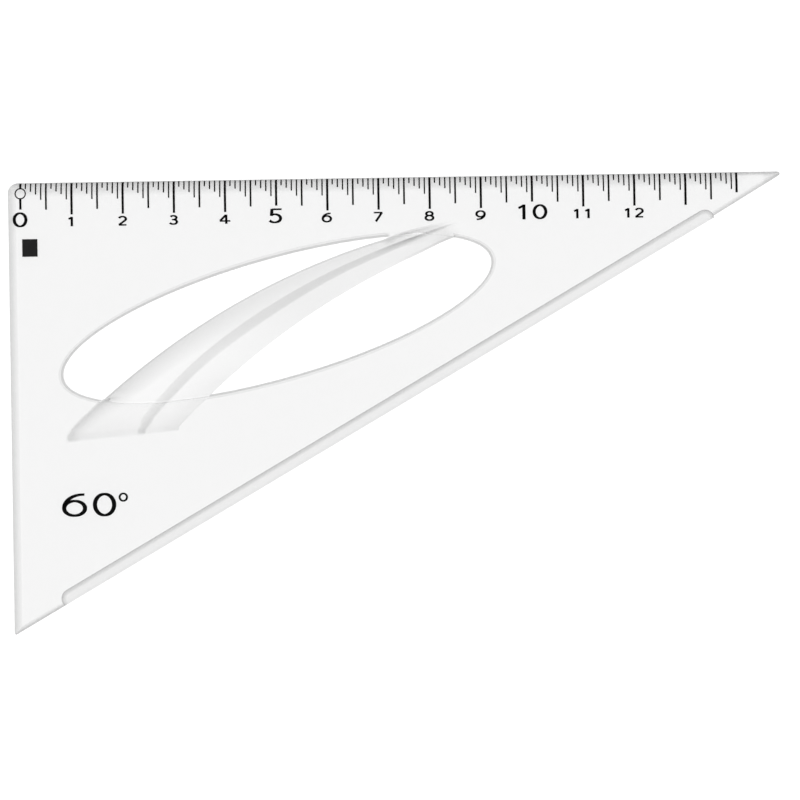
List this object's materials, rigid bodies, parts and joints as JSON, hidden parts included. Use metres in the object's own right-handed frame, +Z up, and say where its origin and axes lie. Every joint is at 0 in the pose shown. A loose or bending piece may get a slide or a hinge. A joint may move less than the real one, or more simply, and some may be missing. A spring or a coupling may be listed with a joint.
{
  "type": "drafting triangle",
  "caption": "Clear right-angled drafting triangle with a ruled long leg, a stepped hypotenuse edge and an arched finger grip over an elliptical window.",
  "frame": {"origin": "middle of the outline's box, on the underside that lies on the table", "axes": "+X along the ruled long leg, from the right angle towards the sharp tip; +Y square to it, towards the ruled leg; +Z up, out of the printed face"},
  "size_m": [0.151, 0.0882, 0.0111],
  "materials": {
    "clear_plastic": "clear, polished, moulded",
    "black_ink": "printed film"
  },
  "bodies": {
    "root": {"triangle_plate": "clear_plastic", "grip": "clear_plastic", "centimetre_ticks": "black_ink", "half_centimetre_ticks": "black_ink", "millimetre_ticks": "black_ink", "zero_ring": "black_ink", "corner_square": "black_ink"}
  },
  "joints": []
}
